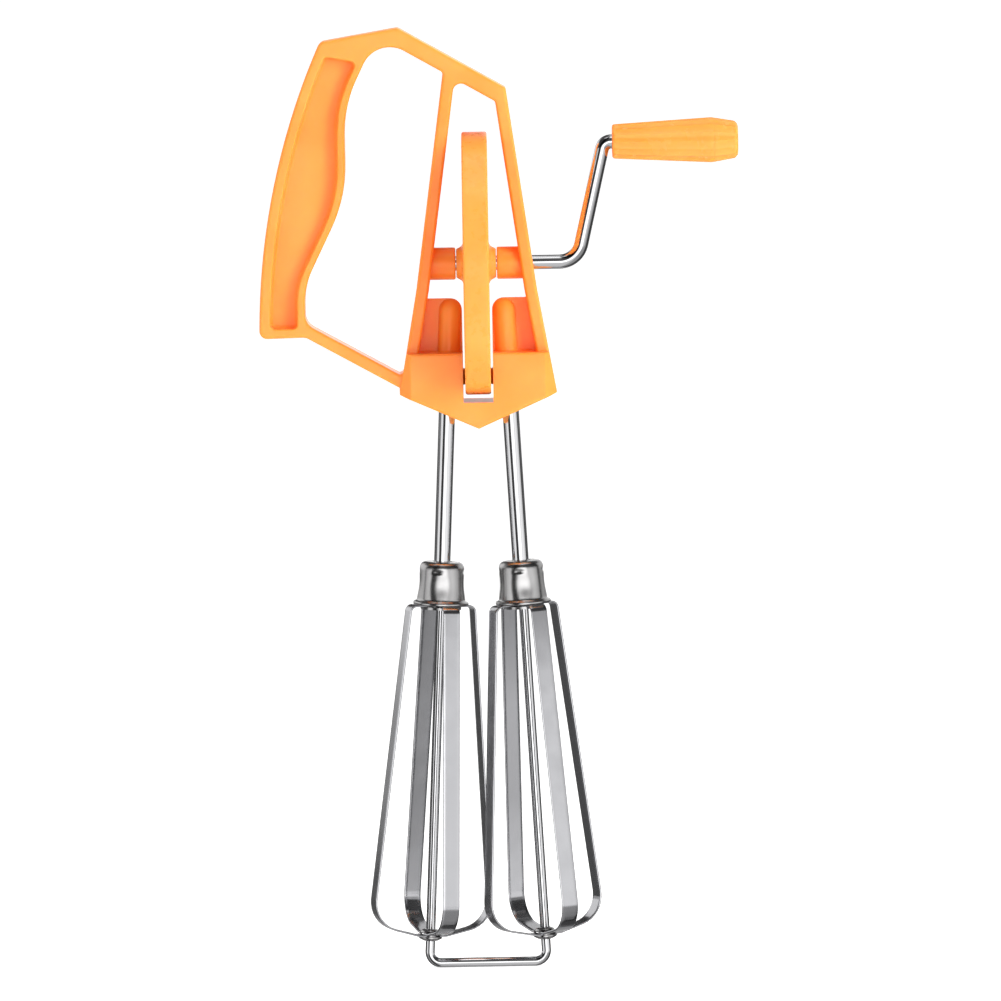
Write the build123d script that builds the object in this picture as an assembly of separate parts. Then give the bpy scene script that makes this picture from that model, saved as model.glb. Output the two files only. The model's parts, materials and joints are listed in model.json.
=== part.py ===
from build123d import *
import math
import os

# A hand-cranked egg beater with two whisks.
# Millimetres and degrees. X runs towards the crank, Y away from the cook, Z up.
# The origin is under the middle of the wire foot, midway between the two whisks.

# Layout
crank_z = 221.0            # crank and wheel axis above the foot
splay = 2.8                # lean of each spindle away from upright
run_gap = 0.08             # radial clearance of a piece that turns on another
slide_gap = 0.1            # clearance of a piece that is pushed into another

# Gear wheel, with crown teeth on both faces
wheel_r = 41.0
rim_w = 8.0
rim_t = 2.4                # radial thickness of the smooth outer band
web_t = 3.0                # thickness of the disc between hub and rim
tooth_len = 6.1            # radial length of the crown teeth
tooth_w = 0.42             # share of the tooth pitch that is tooth, on both gears
wheel_teeth = 60
pinion_teeth = 11
pressure = 20.0            # flank angle of the teeth
crown_add = 0.63           # tooth heights in modules: wheel teeth above the pitch line,
pinion_add = 0.75          # pinion teeth above it,
pinion_ded = 1.06          # pinion teeth below it,
tooth_clear = 0.42         # and the pinion's tips clear of the wheel's disc
hub_len = 12.4
hub_end_r = 4.5
hub_side_r = 6.6           # the hub level with the wheel's sides,
hub_root_r = 7.4           # and where it meets the disc
hub_flare_r = 2.4          # hollow curve between the first two
rib_count = 6
rib_t = 1.4
rib_h = 1.0

# Pinions
pinion_back_gap = 1.3      # from the wheel's band to the pinion's large end
collar_gap = 1.1           # between the wheel's band and the pinion's collar

# Crank rod and its grip
rod_d = 4.5
rod_lean = 13.1            # lean of the crank's arm away from the frame
throw = 37.2               # from the wheel axis to the grip's axis
arm_x = 31.6               # where the rod turns up
arm_bend_in = 4.75         # inner radii of the rod's two bends
grip_bend_in = 0.75
grip_len = 39.3
grip_small_d = 10.7
grip_big_d = 14.1
grip_end_d = 11.4
grip_wide_at = 31.0        # widest place, from the grip's inner end
flute_count = 16
flute_r = 1.5
flute_depth = 0.22
rod_head_d = 6.8           # the rod's swaged end, inside the grip
rod_head_t = 1.4
rod_head_inset = 8.5       # from the rod's end to the grip's outer end
head_gap = 0.3             # free play around the rod's head

# Frame: handle, top bar, two posts, strut and gear housing in one moulding
frame_depth = 14.0
bar_slope = 29.9           # fall of the top bar and of the strut, to the right
bar_t = 5.3
strut_t = 3.7
post_w = 3.95
bar_above_wheel = 32.9     # top vertex above the wheel's top
apex_left = 23.2           # top vertex left of the middle
bar_end_x = 10.1           # half width of the posts at the top bar
waist_x = 18.8             # half width of the posts a little below the crank
waist_drop = 8.0
floor_gap = 1.9            # from the wheel down to the slot's floor
bridge_t = 8.2             # from the slot's floor down to the tip of the V
v_rise = 10.8              # from the tip of the V up to the housing's corners
strut_rise = 2.1           # strut's lower edge above the housing's corners
housing_top_drop = 27.5    # crank axis to the housing's top
housing_wall = 2.5         # in front of and behind the pinions
housing_side = 2.7         # beside them, on the housing's front face
housing_cut = 3.5          # how far its upright edges are cut back
slot_gap = 0.68            # from the wheel's side to the slot's wall
panel_t = 2.2              # upright panels that carry the wire's sockets
panel_h = 16.7
panel_corner_r = 4.2       # rounding of the panels' upper corners beside the slot
socket_d = 7.4
barrel_d = 10.1            # bearing barrels on the posts
barrel_gap = 0.25          # between a barrel and the wheel's hub
pocket_gap = 0.7           # around the pinions
edge_r = 1.0               # rounding of the frame's edges,
housing_edge_r = 0.8       # of the housing's,
mouth_r = 0.6              # of the rims of the handle's hollows
barrel_edge_r = 0.5        # and of the barrels' free ends

# Handle
handle_low_x = -53.5       # hand hole's left edge at its foot
grip_narrowing = 13.3      # how far that edge moves right, up to the handle's neck
crown_lean = 25.8          # lean of the hand hole's upper left edge
crown_r = 9.0              # rounding where it meets the top bar
handle_left_x = -67.9      # handle's left edge at its foot
handle_lean = 20.4         # upper left corner, to the right of the handle's foot
handle_drop = 4.0          # and below the frame's top vertex
handle_r = 222.0           # curve of the left edge
recess_rim_out = 3.6
recess_rim_in = 2.5
recess_foot = 3.1
recess_head = 4.6
recess_depth = 4.0
recess_floor_r = 1.2       # rounding where its wall meets its floor

# Cover under the housing
cover_t = 2.2
cover_rim = 1.5            # housing wall left around it

# Wire frame and spindle tubes
wire_d = 3.0
foot_bend_r = 3.5
socket_depth = 14.5        # wire inside its socket, above the housing
tube_d = 5.2

# Whisks. Heights are along the spindle, from the foot.
ferrule_z = 114.2
ferrule_h = 13.5
ferrule_top_r = 6.95
ferrule_low_r = 7.7
ferrule_rim_r = 8.75
ferrule_rim_t = 1.0
ferrule_wall = 0.8
dent_r = 4.0
dent_depth = 0.35
retainer_r = 6.4
retainer_t = 0.8
retainer_sleeve = 4.0
blade_w = 5.5
blade_t = 0.6
blade_top_r = 10.45        # whisk's radius under the ferrule
blade_low_r = 19.7         # and at its lower corner, before rounding
blade_cone = 14.0          # rise of the bottom away from the middle
blade_bottom_z = 10.0
blade_flat = 0.3           # flat middle, beyond where the two strips cross
blade_top_bend_r = 2.0
blade_low_bend_r = 9.0
blade_foot_bend_r = 3.0
clocking = {"left": 19.0, "right": 26.0}
eyelet_flange_r = 3.65
eyelet_barrel_r = 2.25
eyelet_low_t = 1.4
eyelet_top_t = 1.1

sides = {"left": -1, "right": 1}


def tan(angle):
    return math.tan(math.radians(angle))


def cos(angle):
    return math.cos(math.radians(angle))


def sin(angle):
    return math.sin(math.radians(angle))


def meet(p, q, r, s):
    """Where the line through p and q crosses the line through r and s."""
    ax, az = q[0] - p[0], q[1] - p[1]
    bx, bz = s[0] - r[0], s[1] - r[1]
    t = ((r[0] - p[0]) * bz - (r[1] - p[1]) * bx) / (ax * bz - az * bx)
    return (p[0] + t * ax, p[1] + t * az)


def mirrored(p):
    return (-p[0], p[1])


def upright(face, depth):
    """A face drawn in X and Z, thickened by depth about the middle plane."""
    return extrude(Plane.XZ * face, amount=depth / 2, both=True)


def rounded(face, corner, radius):
    """The face with its corner nearest to a point rounded."""
    nearest = face.vertices().sort_by_distance(Vector(*corner))[0]
    return fillet(nearest, radius)


def turned(points):
    """A solid of revolution about Z from (radius, height) points."""
    return revolve(Plane.XZ * make_face(Polyline(points, close=True)), Axis.Z)


def turned_on_x(points):
    """A solid of revolution about X from (x, radius) points."""
    return revolve(Plane.XZ * make_face(Polyline(points, close=True)), Axis.X)


def on_spindle(side, shape):
    """A shape made about the Z axis, moved to the spindle of that side."""
    s = sides[side]
    return Pos(s * apex_x, 0, crank_z) * Rot(Y=-s * splay) * Pos(0, 0, -crank_z) * shape


def ring(outer_r, inner_r, low, high):
    return turned([(inner_r, low), (outer_r, low), (outer_r, high), (inner_r, high)])


# Gear geometry: both gears' teeth run towards the crossing of their axes
tooth_out_r = wheel_r - rim_t
tooth_in_r = tooth_out_r - tooth_len
mid_r = (tooth_out_r + tooth_in_r) / 2
pitch_slope = (pinion_teeth / wheel_teeth - sin(splay)) / cos(splay)
pinion_slope = tan(math.degrees(math.atan(pitch_slope)) + splay)
pinion_pitch_r = mid_r * pinion_slope
module = 2 * pinion_pitch_r / pinion_teeth
pitch_x = web_t / 2 + (tooth_clear + pinion_add) * module
tip_x = pitch_x + crown_add * module
apex_x = pitch_x + mid_r * pitch_slope
pinion_large = tooth_out_r - pinion_back_gap
pinion_small = tooth_in_r + 0.2
pinion_tip_r = pinion_large * (pinion_slope + pinion_add * module / mid_r)
collar_r = apex_x + wheel_r * tan(splay) - rim_w / 2 - collar_gap

# Heights shared by the frame and what it carries
floor_z = crank_z - wheel_r - floor_gap
v_tip = (0.0, floor_z - bridge_t)
pocket_r = pinion_tip_r + pocket_gap
housing_depth = 2 * (pocket_r + housing_wall)
housing_face_x = apex_x + (crank_z - floor_z) * tan(splay) + pocket_r + housing_side
base_x = housing_face_x + housing_cut
base = (base_x, v_tip[1] + v_rise)
waist = (waist_x, crank_z - waist_drop)
apex = (-apex_left, crank_z + wheel_r + bar_above_wheel)
bar_end = (bar_end_x, apex[1] - (bar_end_x + apex_left) * tan(bar_slope))
housing_z = crank_z - housing_top_drop
slot_x = max(rim_w / 2, tip_x) + slot_gap
cover_x = housing_face_x - cover_rim
cover_y = housing_depth / 2 - cover_rim
pocket_top = crank_z - pinion_small + 0.8
wire_top = housing_z + socket_depth
foot_z = wire_d / 2
rod_r = rod_d / 2
wire_r = wire_d / 2
tube_r = tube_d / 2
tube_bore_r = wire_r + run_gap
grip_z = crank_z + throw

# Outline points of the frame in X and Z
strut_right = (-base_x, base[1] + strut_rise)
strut_low = meet(
    strut_right, (strut_right[0] - 1, strut_right[1] + tan(bar_slope - 0.7)),
    (handle_low_x, 0), (handle_low_x, 1))
handle_foot = (handle_left_x, strut_low[1] - 0.3)
handle_corner = (handle_foot[0] + handle_lean, apex[1] - handle_drop)


def strut_line(lift):
    """Two points on a line parallel to the strut's lower edge, above it by lift."""
    up = lift / cos(bar_slope)
    return [(p[0], p[1] + up) for p in (strut_right, strut_low)]


def bar_line(drop):
    """Two points on a line parallel to the top bar, below its edge by drop."""
    down = drop / cos(bar_slope)
    return [(p[0], p[1] - down) for p in (apex, bar_end)]


def hand_edge(shift):
    """Corners and roundings of the hand hole's left edge, from the top, shifted to the left."""
    low = handle_foot[1]
    rise = handle_corner[1] - low
    neck = handle_low_x + grip_narrowing
    corners = [((neck, low + 0.782 * rise), 0.43 * rise), ((neck, low + 0.472 * rise), 0.48 * rise),
               ((handle_low_x, low + 0.177 * rise), 0.27 * rise)]
    return [((x - shift, z), radius) for (x, z), radius in corners]


def hand_edge_end(shift):
    """A second point on the leaning line that carries the left edge up to the top bar."""
    (x, z), _ = hand_edge(shift)[0]
    return (x + sin(crown_lean), z + cos(crown_lean))


def frame_face():
    outline = make_face(
        Polyline(handle_corner, apex, bar_end, waist, base, v_tip, mirrored(base),
                 strut_right, strut_low, handle_foot)
        + RadiusArc(handle_foot, handle_corner, handle_r))
    for corner, radius in (
            (handle_corner, 3.0), (apex, 1.5), (bar_end, 1.2), (base, 1.2),
            (mirrored(base), 1.0), (v_tip, 1.5), (handle_foot, 2.5), (strut_low, 4.0)):
        outline = rounded(outline, corner, radius)
    return outline


def hand_hole():
    bar = bar_line(bar_t)
    strut = strut_line(strut_t)
    post_top = meet(*bar, mirrored(bar_end), mirrored(waist))
    post_low = meet(*strut, mirrored(base), mirrored(waist))
    foot = meet(*strut, (handle_low_x, 0), (handle_low_x, 1))
    edge = hand_edge(0)
    crown = meet(*bar, edge[0][0], hand_edge_end(0))
    hole = make_face(Polyline(
        [crown] + [p for p, _ in edge] + [foot, post_low, mirrored(waist), post_top], close=True))
    for corner, radius in [(crown, crown_r)] + edge + [(foot, 5.0), (post_top, 1.2), (post_low, 1.2)]:
        hole = rounded(hole, corner, radius)
    return hole


def window():
    """The opening between the posts, down to the housing's top."""
    bar = bar_line(bar_t)
    top_in = (bar_end[0] - post_w, bar_end[1])
    waist_in = (waist[0] - post_w, waist[1])
    low = meet(waist_in, (base[0] - post_w, base[1]), (0, housing_z), (1, housing_z))
    right = meet(*bar, top_in, waist_in)
    left = meet(*bar, mirrored(top_in), mirrored(waist_in))
    opening = make_face(
        Polyline(left, right, waist_in, low, mirrored(low), mirrored(waist_in), close=True))
    opening = rounded(opening, left, 2.5)
    return rounded(opening, right, 1.2)


def panels():
    """The upright panels on both sides of the slot, from the housing up."""
    middle, top = housing_z + panel_h / 2, housing_z + panel_h
    face = window() & Pos(0, middle) * Rectangle(2 * waist_x + 2, panel_h)
    face -= Pos(0, middle) * Rectangle(2 * slot_x, panel_h + 2)
    for s in sides.values():
        face = rounded(face, (s * slot_x, top), panel_corner_r)
    return face


def handle_recess():
    """The hollow in each side of the handle."""
    left = handle_foot[0] + recess_rim_out
    edge = hand_edge(recess_rim_in)
    low = handle_foot[1] + recess_foot
    head = handle_corner[1] - recess_head
    top_right = meet((0, head - 1.9), (1, head - 1.9), edge[0][0], hand_edge_end(recess_rim_in))
    top_left = (handle_corner[0] + 1.6, head)
    low_right = (edge[-1][0][0], low)
    low_left = (left, low)
    face = make_face(
        Polyline([top_left, top_right] + [p for p, _ in edge] + [low_right, low_left])
        + RadiusArc(low_left, top_left, handle_r - recess_rim_out))
    for corner, radius in edge + [(p, 1.5) for p in (top_right, low_right, low_left, top_left)]:
        face = rounded(face, corner, radius)
    return face


def housing_box():
    """The deeper box around the pinions, its upright edges cut back to the frame."""
    high = meet(waist, base, (0, housing_z), (1, housing_z))
    front = upright(
        make_face(Polyline(high, base, v_tip, mirrored(base), mirrored(high), close=True)),
        housing_depth)
    half, inner = housing_depth / 2, frame_depth / 2
    plan = make_face(Polyline(
        (base_x, inner), (housing_face_x, half), (-housing_face_x, half), (-base_x, inner),
        (-base_x, -inner), (-housing_face_x, -half), (housing_face_x, -half), (base_x, -inner),
        close=True))
    box = front & Pos(0, 0, v_tip[1] - 5) * extrude(plan, amount=housing_z - v_tip[1] + 10)
    return fillet(box.faces().filter_by(Axis.Y).edges(), housing_edge_r)


def cover_plate(half_x, half_y):
    """The V-shaped plate that lies in the housing's underside."""
    slope = v_rise / base_x
    edge_z = v_tip[1] + half_x * slope
    face = make_face(Polyline(
        v_tip, (half_x, edge_z), (half_x, edge_z + cover_t), (0, v_tip[1] + cover_t),
        (-half_x, edge_z + cover_t), (-half_x, edge_z), close=True))
    return upright(face, 2 * half_y)


def frame_plate():
    """The flat frame with soft edges and a hollow in each side of its handle."""
    plate = upright(frame_face() - hand_hole() - window(), frame_depth)
    plate = fillet(plate.faces().filter_by(Axis.Y).edges(), edge_r)
    for s in sides.values():
        hollow = Pos(0, s * (frame_depth - recess_depth) / 2, 0) * upright(handle_recess(), recess_depth)
        floor = hollow.faces().sort_by(Axis.Y)[0 if s > 0 else -1]
        plate -= fillet(floor.edges(), recess_floor_r)
    holed = [face for face in plate.faces().filter_by(Axis.Y) if face.inner_wires()]
    mouths = [min(face.inner_wires(), key=lambda wire: wire.bounding_box().max.X) for face in holed]
    return fillet([edge for mouth in mouths for edge in mouth.edges()], mouth_r)


def barrel(s):
    """The bearing barrel that stands on the post of side s, towards the wheel."""
    inner = hub_len / 2 + barrel_gap
    length = waist_x - post_w / 2 - inner
    solid = Cylinder(barrel_d / 2, length)
    rings = solid.edges().filter_by(GeomType.CIRCLE).sort_by(Axis.Z)
    solid = fillet(rings[0 if s > 0 else -1], barrel_edge_r)
    return Pos(s * (inner + length / 2), 0, crank_z) * Rot(Y=90) * solid


def make_frame():
    body = frame_plate() + housing_box() + upright(panels(), panel_t)
    for side, s in sides.items():
        dome = socket_d / 2
        top = housing_z + panel_h
        socket = ring(dome, 0, housing_z - 2, top - dome) + Pos(0, 0, top - dome) * Sphere(dome)
        body += on_spindle(side, socket) + barrel(s)
    slot_h = panel_h + housing_z - floor_z + 1
    body -= Pos(0, 0, floor_z + slot_h / 2) * Box(2 * slot_x, housing_depth + 2, slot_h)
    for side in sides:
        body -= on_spindle(side, ring(pocket_r, 0, v_tip[1] - 5, pocket_top))
        body -= on_spindle(side, ring(wire_r, 0, pocket_top - 1, wire_top))
    body -= cover_plate(cover_x, cover_y)
    bore_r = rod_r + run_gap
    blind = waist_x - 3.0
    body -= (Pos((base_x - blind) / 2, 0, crank_z) * Rot(Y=90)
             * Cylinder(bore_r, base_x + blind))
    return body


def make_cover():
    """Closes the housing from below; its two pads stand under the pinions."""
    cover = cover_plate(cover_x, cover_y)
    under = upright(
        make_face(Polyline(v_tip, base, (base_x, floor_z + 20), (-base_x, floor_z + 20),
                           mirrored(base), close=True)), housing_depth)
    for side in sides:
        pad = on_spindle(side, ring(pocket_r - slide_gap, 0, v_tip[1] - 5, floor_z + 5))
        cover += pad & under & Pos(0, 0, floor_z - 50) * Box(100, 100, 100)
    for side in sides:
        cover -= on_spindle(side, ring(tube_r + run_gap, 0, v_tip[1] - 9, floor_z + 9))
    return cover


def make_wheel():
    half_rim, half_web, half_hub = rim_w / 2, web_t / 2, hub_len / 2
    profile = Line((-half_hub, rod_r), (half_hub, rod_r)) + Line((-half_rim, wheel_r), (half_rim, wheel_r))
    for s in sides.values():
        profile += Line((s * half_hub, rod_r), (s * half_hub, hub_end_r))
        profile += RadiusArc((s * half_hub, hub_end_r), (s * half_rim, hub_side_r), s * hub_flare_r)
        profile += Polyline((s * half_rim, hub_side_r), (s * half_web, hub_root_r),
                            (s * half_web, tooth_out_r), (s * half_rim, tooth_out_r),
                            (s * half_rim, wheel_r))
    wheel = revolve(make_face(profile), Axis.X)
    rim_edges = [e for e in wheel.edges().filter_by(GeomType.CIRCLE) if e.radius > wheel_r - 0.01]
    wheel = fillet(rim_edges, 0.5)
    root_x = half_web - 0.2
    added = []
    for face in (1, -1):
        tooth = crown_tooth(face, root_x)
        added += [Rot(X=360 * k / wheel_teeth) * tooth for k in range(wheel_teeth)]
        rib_len = tooth_in_r - hub_root_r - 1
        rib = (Pos(face * (half_web + rib_h) / 2, 0, hub_root_r + rib_len / 2)
               * Box(half_web + rib_h, rib_t, rib_len))
        added += [Rot(X=360 * (k + 0.5) / rib_count) * rib for k in range(rib_count)]
    return Pos(0, 0, crank_z) * (wheel + added)


def crown_tooth(face, root_x):
    """One tooth of the wheel, straight below the hub, on the +X or -X face."""
    thickness = tooth_w * 2 * math.pi / wheel_teeth

    def half_width(x, r):
        pitch_x = apex_x - r * pitch_slope
        return thickness * r / 2 - tan(pressure) * (x - pitch_x)

    ends = []
    for r in (tooth_in_r, tooth_out_r + 0.3):
        a, b = half_width(root_x, r), half_width(tip_x, r)
        corners = [(root_x, -a), (tip_x, -b), (tip_x, b), (root_x, a)]
        ends.append(make_face(Polyline([(face * x, y, -r) for x, y in corners], close=True)))
    return loft(ends, ruled=True)


def pinion_outline():
    """The pinion's teeth at mid face, as (x, y) points with a space towards +X."""
    pitch_r = pinion_pitch_r
    base_circle = pitch_r * cos(pressure)
    root_r, tip_r = pitch_r - pinion_ded * module, pitch_r + pinion_add * module

    def half_angle(r):
        def involute(angle):
            return math.tan(angle) - angle
        at_r = math.acos(min(1.0, base_circle / r))
        return (tooth_w * math.pi / pinion_teeth + involute(math.radians(pressure))
                - involute(at_r))

    radii = [root_r, base_circle, (base_circle + pitch_r) / 2, pitch_r, (pitch_r + tip_r) / 2, tip_r]
    flank = [(r, half_angle(r)) for r in radii]
    points = []
    for k in range(pinion_teeth):
        middle = 2 * math.pi * (k + 0.5) / pinion_teeth
        for r, a in [(r, -a) for r, a in flank] + [(r, a) for r, a in reversed(flank)]:
            points.append((r * math.cos(middle + a), r * math.sin(middle + a)))
    return points


def make_pinion(side):
    ends = []
    for distance in (pinion_large, pinion_small):
        scale_by = distance / mid_r
        outline = [(x * scale_by, y * scale_by, crank_z - distance) for x, y in pinion_outline()]
        ends.append(make_face(Polyline(outline, close=True)))
    teeth = loft(ends, ruled=True)
    collar = ring(collar_r, 0, floor_z + 0.5, crank_z - pinion_large + 0.1)
    bore = ring(tube_r, 0, floor_z - 5, crank_z)
    facing_wheel = {"left": 0, "right": 180}[side]
    return on_spindle(side, Rot(Z=facing_wheel) * (teeth + collar - bore))


def make_wire_frame():
    def leg_x(z):
        return apex_x + (crank_z - z) * tan(splay)

    path = FilletPolyline(
        (-leg_x(wire_top), 0, wire_top), (-leg_x(foot_z), 0, foot_z),
        (leg_x(foot_z), 0, foot_z), (leg_x(wire_top), 0, wire_top), radius=foot_bend_r)
    return sweep(Plane(origin=path @ 0, z_dir=path % 0) * Circle(wire_r), path)


def rod_corner():
    """The rod's upper corner and how far its bend reaches along the grip."""
    corner_x = arm_x + throw * tan(rod_lean)
    reach = (rod_r + grip_bend_in) * tan((90 - rod_lean) / 2)
    return corner_x, reach


grip_x = rod_corner()[0] + rod_corner()[1] + 0.3
rod_end_x = grip_x + grip_len - rod_head_inset
plug_x = grip_x + grip_wide_at + 0.8


def make_rod():
    corner_x = rod_corner()[0]
    inner_end = -(waist_x - 3.4)
    path = FilletPolyline(
        (inner_end, 0, crank_z), (arm_x, 0, crank_z), (corner_x, 0, grip_z),
        (rod_end_x, 0, grip_z), radius=[rod_r + arm_bend_in, rod_r + grip_bend_in])
    rod = sweep(Plane(origin=path @ 0, z_dir=path % 0) * Circle(rod_r), path)
    head = Pos(rod_end_x - rod_head_t / 2, 0, grip_z) * Rot(Y=90) * Cylinder(
        rod_head_d / 2, rod_head_t)
    return rod + head


def grip_radius(along):
    small, big, end = grip_small_d / 2, grip_big_d / 2, grip_end_d / 2
    if along <= grip_wide_at:
        return small + (big - small) * along / grip_wide_at
    return big + (end - big) * (along - grip_wide_at) / (grip_len - grip_wide_at)


def grip_well():
    """Radius and start, from the grip's inner end, of the well for the rod's head."""
    return rod_head_d / 2 + 0.5, grip_len - rod_head_inset - rod_head_t - head_gap


def make_grip():
    plug_at = plug_x - grip_x
    well_r, well_at = grip_well()
    bore_r = rod_r + run_gap
    grip = turned_on_x([
        (0, bore_r), (0, grip_radius(0) - 0.6), (0.6, grip_radius(0)),
        (grip_wide_at, grip_radius(grip_wide_at)), (plug_at, grip_radius(plug_at)),
        (plug_at, well_r), (well_at, well_r), (well_at, bore_r)])
    slope = math.degrees(math.atan2((grip_big_d - grip_small_d) / 2, grip_wide_at))
    out = flute_r - flute_depth
    flute = (Pos(-1, 0, grip_small_d / 2 + out) * Rot(Y=90 - slope)
             * Pos(0, 0, (grip_wide_at + 0.2) / 2) * Cylinder(flute_r, grip_wide_at + 0.2))
    grip -= [Rot(X=360 * k / flute_count) * flute for k in range(flute_count)]
    return Pos(grip_x, 0, grip_z) * grip


def make_plug():
    """Closes the grip's outer end; its hollow spigot fills the well around the rod's head."""
    plug_at = plug_x - grip_x
    well_r = grip_well()[0]
    hollow_r = rod_head_d / 2 + head_gap
    spigot_at = grip_len - rod_head_inset - rod_head_t
    hollow_end = grip_len - rod_head_inset + head_gap
    end_edge = grip_len - 0.8
    plug = turned_on_x([
        (spigot_at, hollow_r), (spigot_at, well_r), (plug_at, well_r),
        (plug_at, grip_radius(plug_at)), (end_edge, grip_radius(end_edge)),
        (grip_len, grip_end_d / 2 - 0.7), (grip_len, 0), (hollow_end, 0), (hollow_end, hollow_r)])
    return Pos(grip_x, 0, grip_z) * plug


def make_tube(side):
    low = ferrule_z - blade_t - retainer_t
    return on_spindle(side, ring(tube_r, tube_bore_r, low, crank_z - pinion_small + 0.3))


def make_ferrule(side):
    """A pressed cup that caps the whisk, dented where it is crimped to the tube."""
    top = ferrule_z + ferrule_h
    rim_z = ferrule_z + ferrule_rim_t
    wall = ferrule_wall
    round_off = 1.2
    cup = turned([
        (ferrule_low_r - wall, ferrule_z), (ferrule_rim_r, ferrule_z), (ferrule_rim_r, rim_z),
        (ferrule_low_r, rim_z + 0.4), (ferrule_top_r, top - round_off),
        (ferrule_top_r - 0.35, top - 0.35), (ferrule_top_r - round_off, top),
        (tube_r, top), (tube_r, top - wall), (ferrule_top_r - wall, top - wall)])
    dent_z = ferrule_z + ferrule_h * 0.55
    dent_at = (ferrule_top_r + ferrule_low_r) / 2 + dent_r - dent_depth
    dents = [Rot(Z=90 * k + 45 + clocking[side]) * Pos(dent_at, 0, dent_z) * Sphere(dent_r)
             for k in range(4)]
    return on_spindle(side, cup - dents)


def make_retainer(side):
    """A flanged bush on the tube's end that clamps the blade ends to the ferrule."""
    low = ferrule_z - blade_t - retainer_t
    sleeve_r = blade_start_r() - 0.15
    sleeve_top = ferrule_z + retainer_sleeve
    return on_spindle(side, turned([
        (tube_r, low), (retainer_r, low), (retainer_r, low + retainer_t),
        (sleeve_r, low + retainer_t), (sleeve_r, sleeve_top), (tube_r, sleeve_top)]))


def blade_start_r():
    """Nearest that four blade ends can come to the axis side by side."""
    return blade_w / 2 * math.sqrt(2) + 0.2


def make_blade_loop(side, level):
    """One strip bent into a loop: two opposite blades joined at the bottom."""
    top = ferrule_z - blade_t / 2
    bottom = blade_bottom_z + level * blade_t
    flat_r = blade_start_r() + blade_flat
    low = (blade_low_r, blade_bottom_z + (blade_low_r - flat_r) * tan(blade_cone))
    half = [(blade_start_r(), top), (blade_top_r, top), low, (flat_r, bottom)]
    points = half + [(-x, z) for x, z in reversed(half)]
    bends = [blade_top_bend_r, blade_low_bend_r, blade_foot_bend_r]
    path = FilletPolyline([(x, 0, z) for x, z in points], radius=bends + bends[::-1])
    strip = Plane(origin=path @ 0, x_dir=(0, 1, 0), z_dir=path % 0) * Rectangle(blade_w, blade_t)
    loop = sweep(strip, path)
    loop -= ring(eyelet_barrel_r, 0, bottom - 1, bottom + 1)
    return on_spindle(side, Rot(Z=clocking[side] + 90 * level) * loop)


def make_eyelet(side):
    """Rivets the two loops together and turns on the wire."""
    low = blade_bottom_z - blade_t / 2
    high = low + 2 * blade_t
    bore = wire_r + run_gap
    return on_spindle(side, turned([
        (bore, low - eyelet_low_t), (bore + 0.5, low - eyelet_low_t),
        (eyelet_flange_r, low - 0.55), (eyelet_flange_r, low), (eyelet_barrel_r, low),
        (eyelet_barrel_r, high), (eyelet_flange_r - 0.5, high),
        (eyelet_flange_r - 0.8, high + 0.7), (bore + 0.4, high + eyelet_top_t),
        (bore, high + eyelet_top_t)]))


nodes = {
    "frame": make_frame(),
    "bottom_cover": make_cover(),
    "wire_frame": make_wire_frame(),
    "gear_wheel": make_wheel(),
    "crank_rod": make_rod(),
    "crank_grip": make_grip(),
    "grip_end_plug": make_plug(),
}
for side in sides:
    nodes[f"{side}_pinion"] = make_pinion(side)
    nodes[f"{side}_spindle_tube"] = make_tube(side)
    nodes[f"{side}_ferrule"] = make_ferrule(side)
    nodes[f"{side}_blade_retainer"] = make_retainer(side)
    nodes[f"{side}_blade_loop_a"] = make_blade_loop(side, 0)
    nodes[f"{side}_blade_loop_b"] = make_blade_loop(side, 1)
    nodes[f"{side}_bottom_eyelet"] = make_eyelet(side)

os.makedirs("parts", exist_ok=True)
for name, shape in nodes.items():
    export_step(shape, f"parts/{name}.step")
    print(name, len(shape.solids()), round(shape.volume, 1))
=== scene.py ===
# %% [markdown]
# # A hand-cranked egg beater
# The solids come from a CAD model that is already packed with its joints. This lesson dresses
# them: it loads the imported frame, builds finer meshes where the plain solids fall short, gives
# every surface the finish of the real material, and lights the tool as a product on white.

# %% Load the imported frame
import json
import math

import bmesh
import bpy
from mathutils import Matrix, Vector

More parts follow.
